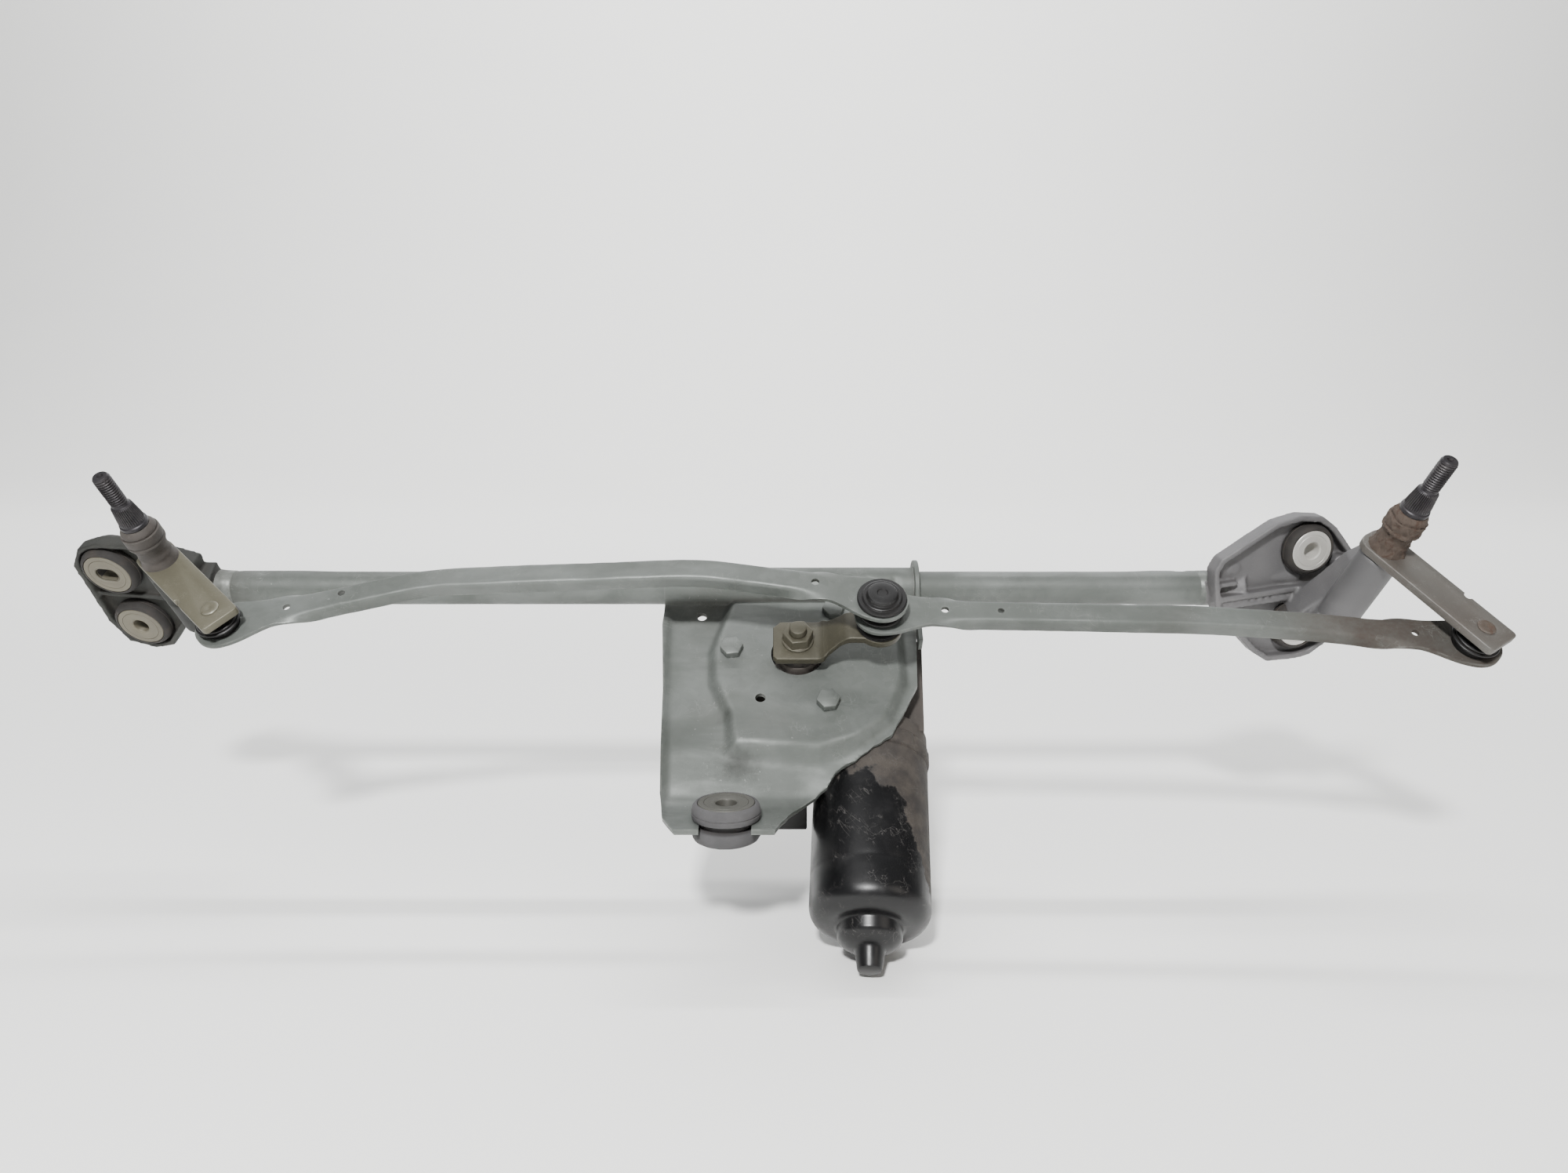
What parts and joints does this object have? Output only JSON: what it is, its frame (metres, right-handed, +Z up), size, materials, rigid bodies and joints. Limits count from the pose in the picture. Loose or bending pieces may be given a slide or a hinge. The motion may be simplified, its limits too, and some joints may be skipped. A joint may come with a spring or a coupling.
{
  "type": "windshield wiper linkage with motor",
  "caption": "Car windshield wiper linkage: cross tube and pressed bracket, gear motor, crank, two rods and two wiper spindles on rubber mounts.",
  "frame": {"origin": "centre of the lower mount's sleeve, on its bolt axis, half way along it", "axes": "+Z up along the lower mount's bolt axis, +X along the linkage from the left spindle to the right one, +Y towards the cross tube"},
  "size_m": [0.6924, 0.1689, 0.2247],
  "materials": {
    "galvanised_steel": "dull zinc with a soft spangle",
    "dark_casting": "grimy die casting",
    "grey_casting": "bare die casting",
    "gear_casting": "dusty die casting",
    "grey_rubber": "pale dusty rubber",
    "black_rubber": "matt rubber",
    "zinc_steel": "bright zinc plate",
    "black_plastic": "smooth moulded plastic",
    "black_enamel": "black enamel with dust",
    "ferrite": "sintered",
    "bronze": "sintered bronze",
    "phenolic": "pressed board",
    "carbon": "pressed carbon",
    "ground_steel": "ground",
    "core_steel": "stacked laminations",
    "copper": "enamelled copper",
    "nylon": "moulded nylon",
    "brass": "stamped",
    "greasy_steel": "phosphated steel with grease",
    "dark_steel": "blackened steel",
    "dirty_steel": "steel caked with road dirt"
  },
  "bodies": {
    "frame": {"cross_tube": "galvanised_steel", "motor_bracket": "galvanised_steel", "left_housing": "dark_casting", "right_housing": "grey_casting", "lower_grommet": "grey_rubber", "left_upper_grommet": "black_rubber", "left_lower_grommet": "black_rubber", "right_upper_grommet": "black_rubber", "right_lower_grommet": "black_rubber", "lower_sleeve": "zinc_steel", "left_upper_sleeve": "zinc_steel", "left_lower_sleeve": "zinc_steel", "right_upper_sleeve": "zinc_steel", "right_lower_sleeve": "zinc_steel", "bracket_bolts": "zinc_steel", "gear_housing": "gear_casting", "gear_cover": "black_plastic", "cover_screws": "zinc_steel", "connector": "black_plastic", "motor_yoke": "black_enamel", "yoke_screws": "zinc_steel", "magnets": "ferrite", "shaft_bearings": "bronze", "brush_holder": "phenolic", "brushes": "carbon", "output_bush": "bronze", "shaft_seal": "black_rubber", "left_bush": "bronze", "right_bush": "bronze"},
    "armature": {"armature_shaft": "ground_steel", "armature_core": "core_steel", "armature_windings": "copper", "commutator": "copper"},
    "crank": {"output_shaft": "ground_steel", "worm_wheel": "nylon", "park_disc": "brass", "crank_arm": "greasy_steel", "crank_nut": "greasy_steel", "crank_ball_pin": "ground_steel"},
    "left_link": {"left_rod": "galvanised_steel", "left_crank_socket": "black_plastic", "left_lever_socket": "black_plastic", "ball_cap": "black_plastic", "left_ball_stud": "ground_steel", "left_rod_boots": "black_rubber"},
    "right_link": {"right_rod": "galvanised_steel", "right_crank_socket": "black_plastic", "right_lever_socket": "black_plastic", "right_ball_stud": "ground_steel", "right_rod_boots": "black_rubber"},
    "left_pivot": {"left_spindle": "dark_steel", "left_lever": "greasy_steel", "left_rivet": "greasy_steel", "left_sleeve": "dirty_steel", "left_circlip": "zinc_steel"},
    "right_pivot": {"right_spindle": "dark_steel", "right_lever": "greasy_steel", "right_rivet": "greasy_steel", "right_sleeve": "dirty_steel", "right_circlip": "zinc_steel"}
  },
  "joints": [
    {"name": "armature_spin", "type": "hinge", "parent": "frame", "child": "armature", "pos_m": [0.06994, 0.09044, 0.03137], "axis": [0.0541, 0.7649, 0.6418], "range_deg": [0, 11700]},
    {"name": "crank_turn", "type": "hinge", "parent": "frame", "child": "crank", "pos_m": [0.032, 0.06951, 0.05951], "axis": [0, 0.6428, -0.766], "range_deg": [0, 180]},
    {"name": "left_rod_swing", "type": "hinge", "parent": "crank", "child": "left_link", "pos_m": [0.0707, 0.04477, 0.089], "axis": [0.0102, -0.6427, 0.766], "range_deg": [0, 178.85]},
    {"name": "right_rod_swing", "type": "hinge", "parent": "crank", "child": "right_link", "pos_m": [0.0707, 0.05119, 0.08134], "axis": [0.0142, -0.6433, 0.7654], "range_deg": [0, 184.39]},
    {"name": "left_spindle_turn", "type": "hinge", "parent": "frame", "child": "left_pivot", "pos_m": [-0.2767, 0.06923, 0.10652], "axis": [0.0819, 0.6406, -0.7635], "range_deg": [0, 103.24]},
    {"name": "right_spindle_turn", "type": "hinge", "parent": "frame", "child": "right_pivot", "pos_m": [0.3069, 0.05042, 0.11462], "axis": [-0.0976, 0.6397, -0.7624], "range_deg": [0, 94.1]}
  ],
  "couplings": [
    {"joint": "crank_turn", "follows": "armature_spin", "ratio": 0.015385},
    {"joint": "left_rod_swing", "follows": "armature_spin", "ratio": 0.015286},
    {"joint": "right_rod_swing", "follows": "armature_spin", "ratio": 0.01576},
    {"joint": "left_spindle_turn", "follows": "armature_spin", "ratio": 0.0088236},
    {"joint": "right_spindle_turn", "follows": "armature_spin", "ratio": 0.0080426}
  ]
}
